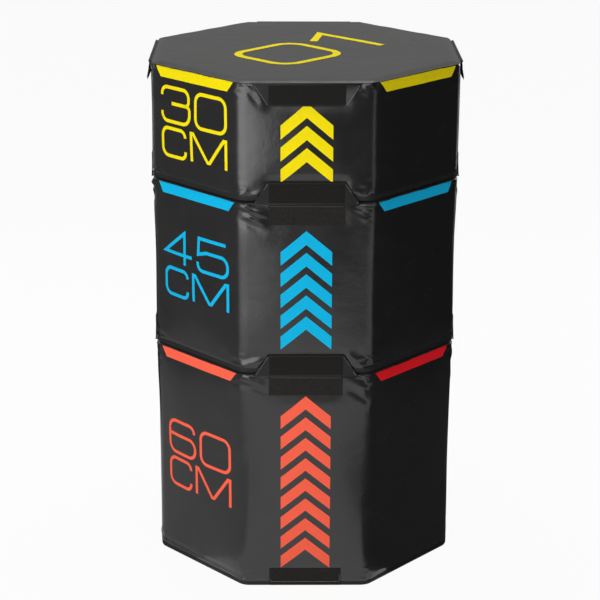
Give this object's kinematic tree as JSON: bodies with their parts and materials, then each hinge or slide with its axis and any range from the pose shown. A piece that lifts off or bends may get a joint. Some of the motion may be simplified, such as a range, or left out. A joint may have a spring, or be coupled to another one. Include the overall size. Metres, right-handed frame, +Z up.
{
  "type": "plyo box",
  "caption": "Stack of octagonal soft plyo boxes of graded heights: foam cores in zipped PVC covers, joined by fold-over hook-and-loop flaps so they lift apart for jump training.",
  "frame": {"origin": "centre of the lowest box's underside, on the floor", "axes": "+Z up, -Y out of the front face with the arrows, +X to the right seen from the front"},
  "size_m": [0.7958, 0.7958, 1.35],
  "materials": {
    "top_pvc": "satin",
    "wall_pvc": "satin",
    "base_pvc": "matte",
    "flap_pvc": "satin",
    "loop_tape": "matte",
    "hook_tape": "matte",
    "foam": "matte",
    "zip_tape": "matte",
    "zip_chain": "satin",
    "zip_metal": "satin"
  },
  "bodies": {
    "tall_box": {"tall_box_foam_core": "foam", "tall_box_base_panel": "base_pvc", "tall_box_side_wall": "wall_pvc", "tall_box_top_panel": "top_pvc", "tall_box_upper_strips": "loop_tape", "tall_box_lower_strips": "loop_tape", "tall_box_flap_roots": "flap_pvc", "tall_box_zip_tapes": "zip_tape", "tall_box_zip_chain": "zip_chain"},
    "tall_front_flap": {"tall_box_front_flap": "flap_pvc", "tall_box_front_flap_tapes": "hook_tape"},
    "tall_right_flap": {"tall_box_right_flap": "flap_pvc", "tall_box_right_flap_tapes": "hook_tape"},
    "tall_back_flap": {"tall_box_back_flap": "flap_pvc", "tall_box_back_flap_tapes": "hook_tape"},
    "tall_left_flap": {"tall_box_left_flap": "flap_pvc", "tall_box_left_flap_tapes": "hook_tape"},
    "tall_zip_slider": {"tall_box_zip_slider": "zip_metal"},
    "tall_zip_pull": {"tall_box_zip_pull": "zip_metal"},
    "middle_box": {"middle_box_foam_core": "foam", "middle_box_base_panel": "base_pvc", "middle_box_side_wall": "wall_pvc", "middle_box_top_panel": "top_pvc", "middle_box_upper_strips": "loop_tape", "middle_box_lower_strips": "loop_tape", "middle_box_flap_roots": "flap_pvc", "middle_box_zip_tapes": "zip_tape", "middle_box_zip_chain": "zip_chain"},
    "middle_front_flap": {"middle_box_front_flap": "flap_pvc", "middle_box_front_flap_tapes": "hook_tape"},
    "middle_right_flap": {"middle_box_right_flap": "flap_pvc", "middle_box_right_flap_tapes": "hook_tape"},
    "middle_back_flap": {"middle_box_back_flap": "flap_pvc", "middle_box_back_flap_tapes": "hook_tape"},
    "middle_left_flap": {"middle_box_left_flap": "flap_pvc", "middle_box_left_flap_tapes": "hook_tape"},
    "middle_zip_slider": {"middle_box_zip_slider": "zip_metal"},
    "middle_zip_pull": {"middle_box_zip_pull": "zip_metal"},
    "short_box": {"short_box_foam_core": "foam", "short_box_base_panel": "base_pvc", "short_box_side_wall": "wall_pvc", "short_box_top_panel": "top_pvc", "short_box_upper_strips": "loop_tape", "short_box_lower_strips": "loop_tape", "short_box_flap_roots": "flap_pvc", "short_box_zip_tapes": "zip_tape", "short_box_zip_chain": "zip_chain"},
    "short_front_flap": {"short_box_front_flap": "flap_pvc", "short_box_front_flap_tapes": "hook_tape"},
    "short_right_flap": {"short_box_right_flap": "flap_pvc", "short_box_right_flap_tapes": "hook_tape"},
    "short_back_flap": {"short_box_back_flap": "flap_pvc", "short_box_back_flap_tapes": "hook_tape"},
    "short_left_flap": {"short_box_left_flap": "flap_pvc", "short_box_left_flap_tapes": "hook_tape"},
    "short_zip_slider": {"short_box_zip_slider": "zip_metal"},
    "short_zip_pull": {"short_box_zip_pull": "zip_metal"}
  },
  "joints": [
    {"name": "tall_front_flap_fold", "type": "hinge", "parent": "tall_box", "child": "tall_front_flap", "pos_m": [0, -0.3951, 0.593], "axis": [1, 0, 0], "range_deg": [0, 180]},
    {"name": "tall_right_flap_fold", "type": "hinge", "parent": "tall_box", "child": "tall_right_flap", "pos_m": [0.3951, 0, 0.593], "axis": [0, 1, 0], "range_deg": [0, 180]},
    {"name": "tall_back_flap_fold", "type": "hinge", "parent": "tall_box", "child": "tall_back_flap", "pos_m": [0, 0.3951, 0.593], "axis": [-1, 0, 0], "range_deg": [0, 180]},
    {"name": "tall_left_flap_fold", "type": "hinge", "parent": "tall_box", "child": "tall_left_flap", "pos_m": [-0.3951, 0, 0.593], "axis": [0, -1, 0], "range_deg": [0, 180]},
    {"name": "tall_zip_slide", "type": "slide", "parent": "tall_box", "child": "tall_zip_slider", "axis": [0, 1, 0], "range_m": [0, 0.115]},
    {"name": "tall_zip_pull_swing", "type": "hinge", "parent": "tall_zip_slider", "child": "tall_zip_pull", "pos_m": [0.3946, 0.0143, 0.062], "axis": [0, 0, 1], "range_deg": [0, 180]},
    {"name": "middle_box_lift", "type": "slide", "parent": "tall_box", "child": "middle_box", "axis": [0, 0, 1], "range_m": [0, 0.2]},
    {"name": "middle_front_flap_fold", "type": "hinge", "parent": "middle_box", "child": "middle_front_flap", "pos_m": [0, -0.3951, 1.043], "axis": [1, 0, 0], "range_deg": [0, 180]},
    {"name": "middle_right_flap_fold", "type": "hinge", "parent": "middle_box", "child": "middle_right_flap", "pos_m": [0.3951, 0, 1.043], "axis": [0, 1, 0], "range_deg": [0, 180]},
    {"name": "middle_back_flap_fold", "type": "hinge", "parent": "middle_box", "child": "middle_back_flap", "pos_m": [0, 0.3951, 1.043], "axis": [-1, 0, 0], "range_deg": [0, 180]},
    {"name": "middle_left_flap_fold", "type": "hinge", "parent": "middle_box", "child": "middle_left_flap", "pos_m": [-0.3951, 0, 1.043], "axis": [0, -1, 0], "range_deg": [0, 180]},
    {"name": "middle_zip_slide", "type": "slide", "parent": "middle_box", "child": "middle_zip_slider", "axis": [0, 1, 0], "range_m": [0, 0.115]},
    {"name": "middle_zip_pull_swing", "type": "hinge", "parent": "middle_zip_slider", "child": "middle_zip_pull", "pos_m": [0.3946, 0.0143, 0.662], "axis": [0, 0, 1], "range_deg": [0, 180]},
    {"name": "short_box_lift", "type": "slide", "parent": "middle_box", "child": "short_box", "axis": [0, 0, 1], "range_m": [0, 0.2]},
    {"name": "short_front_flap_fold", "type": "hinge", "parent": "short_box", "child": "short_front_flap", "pos_m": [0, -0.3951, 1.343], "axis": [-1, 0, 0], "range_deg": [0, 180]},
    {"name": "short_right_flap_fold", "type": "hinge", "parent": "short_box", "child": "short_right_flap", "pos_m": [0.3951, 0, 1.343], "axis": [0, -1, 0], "range_deg": [0, 180]},
    {"name": "short_back_flap_fold", "type": "hinge", "parent": "short_box", "child": "short_back_flap", "pos_m": [0, 0.3951, 1.343], "axis": [1, 0, 0], "range_deg": [0, 180]},
    {"name": "short_left_flap_fold", "type": "hinge", "parent": "short_box", "child": "short_left_flap", "pos_m": [-0.3951, 0, 1.343], "axis": [0, 1, 0], "range_deg": [0, 180]},
    {"name": "short_zip_slide", "type": "slide", "parent": "short_box", "child": "short_zip_slider", "axis": [0, 1, 0], "range_m": [0, 0.115]},
    {"name": "short_zip_pull_swing", "type": "hinge", "parent": "short_zip_slider", "child": "short_zip_pull", "pos_m": [0.3946, 0.0143, 1.112], "axis": [0, 0, 1], "range_deg": [0, 180]}
  ]
}
